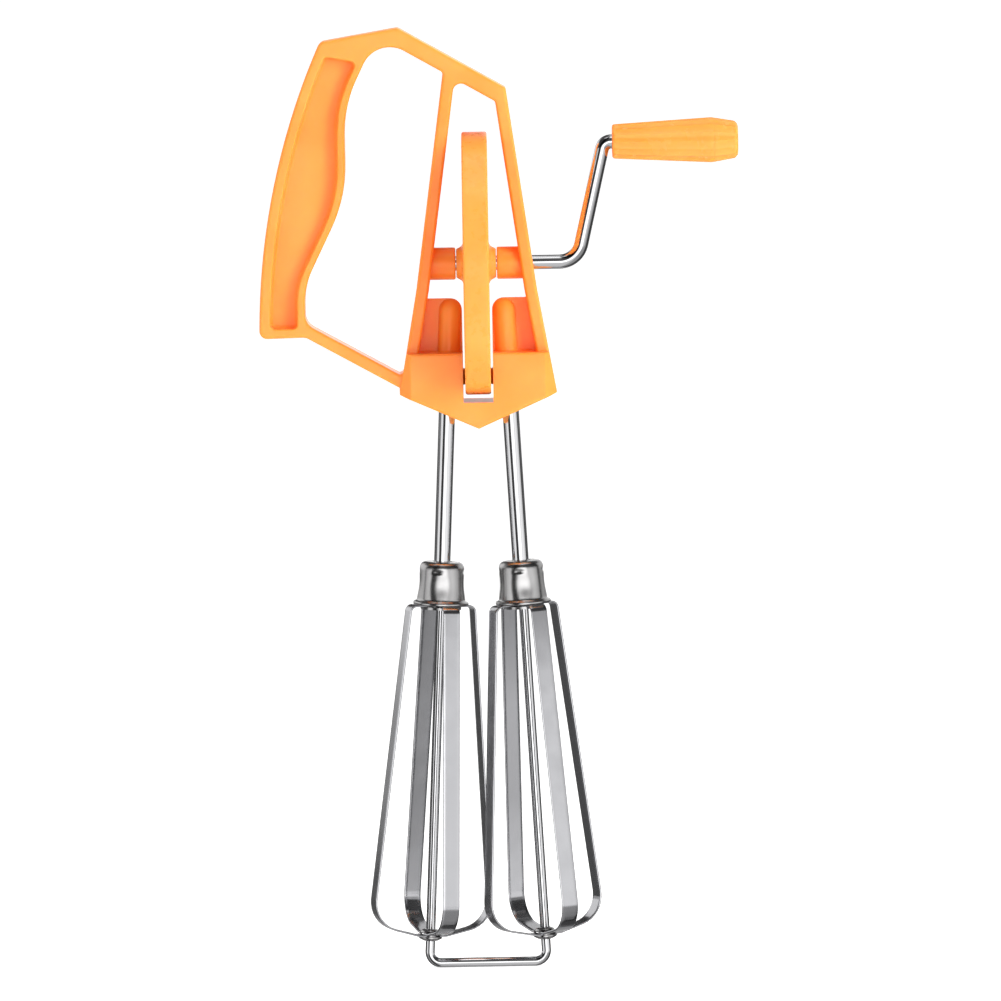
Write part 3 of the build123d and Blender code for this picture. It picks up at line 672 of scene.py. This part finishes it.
# %% Tree for flutes about a line along X
fluting, given = start_tree("fluting", {"Flutes": "Int"})
place = add(fluting, "GeometryNodeInputPosition")
parts = add(fluting, "ShaderNodeSeparateXYZ", {"Vector": place.outputs["Position"]})
angle = add(fluting, "ShaderNodeMath",
            {0: parts.outputs["Z"], 1: parts.outputs["Y"]}, operation="ARCTAN2")
half_waves = add(fluting, "ShaderNodeMath", {0: given["Flutes"], 1: 0.5}, operation="MULTIPLY")
phase = add(fluting, "ShaderNodeMath",
            {0: angle.outputs["Value"], 1: half_waves.outputs["Value"]}, operation="MULTIPLY")
wave = add(fluting, "ShaderNodeMath", {0: phase.outputs["Value"]}, operation="SINE")
hollow = add(fluting, "ShaderNodeMath", {0: wave.outputs["Value"]}, operation="ABSOLUTE")
depth = add(fluting, "GeometryNodeInputNamedAttribute", {"Name": "size"}, data_type="FLOAT")
inward = add(fluting, "ShaderNodeMath",
             {0: hollow.outputs["Value"], 1: depth.outputs["Attribute"]}, operation="MULTIPLY")
across = add(fluting, "ShaderNodeCombineXYZ",
             {"Y": parts.outputs["Y"], "Z": parts.outputs["Z"]})
radial = add(fluting, "ShaderNodeVectorMath", {0: across.outputs["Vector"]}, operation="NORMALIZE")
back = add(fluting, "ShaderNodeMath", {0: inward.outputs["Value"], 1: -1.0}, operation="MULTIPLY")
push = add(fluting, "ShaderNodeVectorMath",
           {0: radial.outputs["Vector"], "Scale": back.outputs["Value"]}, operation="SCALE")
moved = add(fluting, "GeometryNodeSetPosition",
            {"Geometry": given["Geometry"], "Offset": push.outputs["Vector"]})
finish_tree(fluting, given, moved.outputs["Geometry"])
print("nodes in the tree:", len(fluting.nodes))

# %% [markdown]
# The grip is a sleeve. The rod goes through it before its end is swaged, and a wider well at
# the grip's outer end holds the head. A plug closes the well. The flutes run on over the plug
# and fade out towards both ends.

# %% Grip and its end plug
flute_count, flute_depth = 16, 0.34
small_r, big_r, end_r, wide_at = 5.35, 7.05, 5.7, 31.0
bore_r, well_r, well_at = 2.33, 3.9, 29.1
spigot_at, spigot_r, plug_floor = 29.4, 3.6, 31.1  # the plug is hollow up to its floor
grip_in, plug_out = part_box("crank_grip")[0].x / MM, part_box("grip_end_plug")[1].x / MM
grip_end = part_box("crank_grip")[1].x / MM - grip_in
grip_len = plug_out - grip_in


def fluted(node, corners, depth_at):
    """A turned shape along X, fluted where depth_at gives a depth for a place and radius."""
    mesh = turned(node, [(r, x, ease) for x, r, ease in corners], 1.0, flute_count * 12)
    mesh.transform(Matrix.Rotation(math.pi / 2, 4, "Y"))
    depths = [depth_at(v.co.x / MM, math.hypot(v.co.y, v.co.z) / MM) * MM for v in mesh.vertices]
    mesh.attributes.new("size", "FLOAT", "POINT").data.foreach_set("value", depths)
    grown = grow(fluting, mesh, node, Flutes=flute_count)
    place = Matrix.Translation((grip_in * MM, 0, grip_z))
    return put_in_place(smooth(grown), node, place)


def ramp(value, low, high):
    """0 up to low, 1 from high on, and evenly between them."""
    return min(1.0, max(0.0, (value - low) / (high - low)))


edge_r = big_r + (end_r - big_r) * (grip_end - wide_at) / (grip_len - wide_at)
fluted("crank_grip", [
    (0, bore_r, 0), (0, small_r, 1.0), (wide_at, big_r, 0.6), (grip_end, edge_r, 0.15),
    (grip_end, well_r, 0), (well_at, well_r, 0), (well_at, bore_r, 0)],
    lambda x, r: flute_depth * ramp(x, 0.3, 2.0) * ramp(r, well_r + 0.2, small_r - 0.6))
fluted("grip_end_plug", [
    (grip_end, well_r, 0), (grip_end, edge_r, 0.15), (grip_len - 0.9, end_r + 0.1, 0.5),
    (grip_len, end_r - 1.0, 0.4), (grip_len, axis_r, 0), (plug_floor, axis_r, 0),
    (plug_floor, spigot_r, 0), (spigot_at, spigot_r, 0), (spigot_at, well_r, 0)],
    lambda x, r: flute_depth * ramp(grip_len - x, 0.2, 1.6) * ramp(r, well_r + 0.2, end_r - 0.6))

# %% [markdown]
# The tool stands on its wire foot on a light table, a white acrylic sheet that is lit from
# below as well as from above, which is how small goods are shown on pure white. The
# sheet is matt, so that it doesn't mirror the tool.

# %% Light table
grain_mm, table_half = 33, 60.0    # the table's half width in metres


def acrylic():
    material, tree, shader = new_material(
        "matt_white_acrylic", Roughness=0.8, Specular_IOR_Level=0.2,
        Emission_Color=linear("#FFFFFF"), Emission_Strength=0.6)
    place = add(tree, "ShaderNodeTexCoord").outputs["Object"]
    grain = add(tree, "ShaderNodeTexNoise",
                {"Vector": place, "Scale": 1 / (grain_mm * MM), "Detail": 4.0})
    tint = add(tree, "ShaderNodeValToRGB", {"Fac": grain.outputs["Fac"]})
    tint.color_ramp.elements[0].color = linear("#F0F0EF")
    tint.color_ramp.elements[1].color = linear("#F4F4F4")
    tree.links.new(tint.outputs["Color"], shader.inputs["Base Color"])
    return material


def make_table(half):
    data = bpy.data.meshes.new("light_table")
    data.from_pydata([(-half, -half, 0), (half, -half, 0), (half, half, 0), (-half, half, 0)],
                     [], [(0, 1, 2, 3)])
    data.materials.append(acrylic())
    table = bpy.data.objects.new("light_table", data)
    table.visible_glossy = False
    scene.collection.objects.link(table)
    return table


print("table:", make_table(table_half).name)

# %% [markdown]
# Chrome shows the room, not itself. A round bar mirrors everything round it, squeezed towards
# its edges, so a white room alone makes it vanish. Studios stand black cards beside the
# object: they draw the dark lines along both edges. Here the room that mirrors see is drawn
# by direction: white in front and straight behind, black cards to both sides, a narrow black
# card left of the camera, a dark ceiling with a gap, and a grey floor. Everything else is lit
# by a plain white room.

# %% Room of white walls and black cards
room_light, card_light, backdrop_light = 0.54, 2.4, 1.05
world = bpy.data.worlds.new("studio")
scene.world = world
world.use_nodes = True
room = world.node_tree
room.nodes.clear()


def bands(value, stops):
    """A grey ramp over -180 to 180 degrees from (degrees, brightness) stops."""
    ramp_node = add(room, "ShaderNodeValToRGB", {"Fac": value})
    elements = ramp_node.color_ramp.elements
    while len(elements) < len(stops):
        elements.new(0.5)
    for element, (degrees, bright) in zip(elements, stops):
        element.position = degrees / 360 + 0.5
        element.color = (bright, bright, bright, 1.0)
    return ramp_node.outputs["Color"]


def as_share(angle):
    """An angle in radians as a share of the turn, -180 degrees at 0 and 180 at 1."""
    return add(room, "ShaderNodeMath", {0: angle, 1: 1 / (2 * math.pi), 2: 0.5},
               operation="MULTIPLY_ADD").outputs["Value"]


towards = add(room, "ShaderNodeSeparateXYZ",
              {"Vector": add(room, "ShaderNodeTexCoord").outputs["Generated"]})
front = add(room, "ShaderNodeMath", {0: towards.outputs["Y"], 1: -1.0}, operation="MULTIPLY")
around = add(room, "ShaderNodeMath",
             {0: towards.outputs["X"], 1: front.outputs["Value"]}, operation="ARCTAN2")
height = add(room, "ShaderNodeMath", {0: towards.outputs["Z"]}, operation="ARCSINE")
turned_to, risen_to = as_share(around.outputs["Value"]), as_share(height.outputs["Value"])
walls = bands(turned_to, [
    (-180, 0.5), (-160, 0.4), (-152, 0.01), (-88, 0.01), (-80, 0.35), (-50, 0.5), (-46, 0.02),
    (-18, 0.02), (-12, 0.5), (0, 0.9), (18, 0.9), (30, 0.42), (50, 0.5), (82, 0.3), (90, 0.01),
    (150, 0.01), (160, 0.4)])
levels = bands(risen_to, [
    (-90, 0.3), (-17, 0.34), (-9, 1.0), (8, 1.0), (13, 0.05), (58, 0.05), (68, 0.8), (90, 0.8)])
sides_back = bands(turned_to, [
    (-158, 0.0), (-150, 0.4), (-96, 0.4), (-88, 0.0), (96, 0.0), (110, 0.3)])
above_cards = bands(risen_to, [(-14, 0.1), (-2, 0.05), (2, 1.0), (30, 1.0), (40, 0.1)])
low_room = add(room, "ShaderNodeVectorMath", {0: walls, 1: levels}, operation="MULTIPLY")
high_room = add(room, "ShaderNodeVectorMath",
                {0: sides_back, 1: above_cards}, operation="MULTIPLY")
mirrored = add(room, "ShaderNodeVectorMath",
               {0: low_room.outputs[0], 1: high_room.outputs[0]}, operation="ADD")
ray = add(room, "ShaderNodeLightPath")
white = add(room, "ShaderNodeBackground", {"Color": linear("#FFFFFF"), "Strength": room_light})
cards = add(room, "ShaderNodeBackground", {"Color": mirrored.outputs[0], "Strength": card_light})
bright = add(room, "ShaderNodeBackground",
             {"Color": linear("#FFFFFF"), "Strength": backdrop_light})
seen = add(room, "ShaderNodeMixShader", {
    0: ray.outputs["Is Glossy Ray"], 1: white.outputs["Background"],
    2: cards.outputs["Background"]})
shown = add(room, "ShaderNodeMixShader", {
    0: ray.outputs["Is Camera Ray"], 1: seen.outputs["Shader"], 2: bright.outputs["Background"]})
add(room, "ShaderNodeOutputWorld", {"Surface": shown.outputs["Shader"]})
print("nodes in the room:", len(room.nodes))

# %% [markdown]
# The white room alone would leave the plastic without shape. A large soft box on the right is
# the main light, which makes the right-hand sides paler, a weak one on the left keeps the
# shadows open, and one above lights the top bar and the table. Mirrors don't see them.

# %% Lamps
def soft_box(name, place, size, watts):
    light = bpy.data.lights.new(name, "AREA")
    light.shape = "RECTANGLE"
    light.size, light.size_y = size
    light.energy = watts
    lamp = bpy.data.objects.new(name, light)
    lamp.location = place
    lamp.visible_glossy = False
    middle = (cad_box[0] + cad_box[1]) / 2
    lamp.rotation_euler = (middle - Vector(place)).to_track_quat("-Z", "Y").to_euler()
    scene.collection.objects.link(lamp)
    return lamp


soft_box("key_right", (0.75, -0.75, 0.5), (0.4, 0.8), 11)
soft_box("fill_left", (-0.85, -0.55, 0.4), (0.3, 0.8), 1.5)
soft_box("top", (0.0, 0.2, 1.1), (0.8, 0.5), 5)

# %% [markdown]
# A long lens from three metres keeps the two whisks parallel, and a slightly raised camera
# shows the floor of the wheel's slot. The tool leans one degree in the view, so the camera
# is rolled by as much.

# %% Camera
elevation, roll, distance = math.radians(4.6), math.radians(1.0), 3.0
aim = Vector((6.3 * MM, 0.0, 146.6 * MM))
view_width = 312.8 * MM
camera_data = bpy.data.cameras.new("camera")
camera_data.sensor_width = 36.0
camera_data.lens = camera_data.sensor_width * distance / view_width
camera = bpy.data.objects.new("camera", camera_data)
camera.location = aim + distance * Vector((0.0, -math.cos(elevation), math.sin(elevation)))
camera.rotation_euler = (
    Matrix.Rotation(math.pi / 2 - elevation, 4, "X") @ Matrix.Rotation(-roll, 4, "Z")).to_euler()
scene.collection.objects.link(camera)
scene.camera = camera
print("lens:", round(camera_data.lens), "mm")
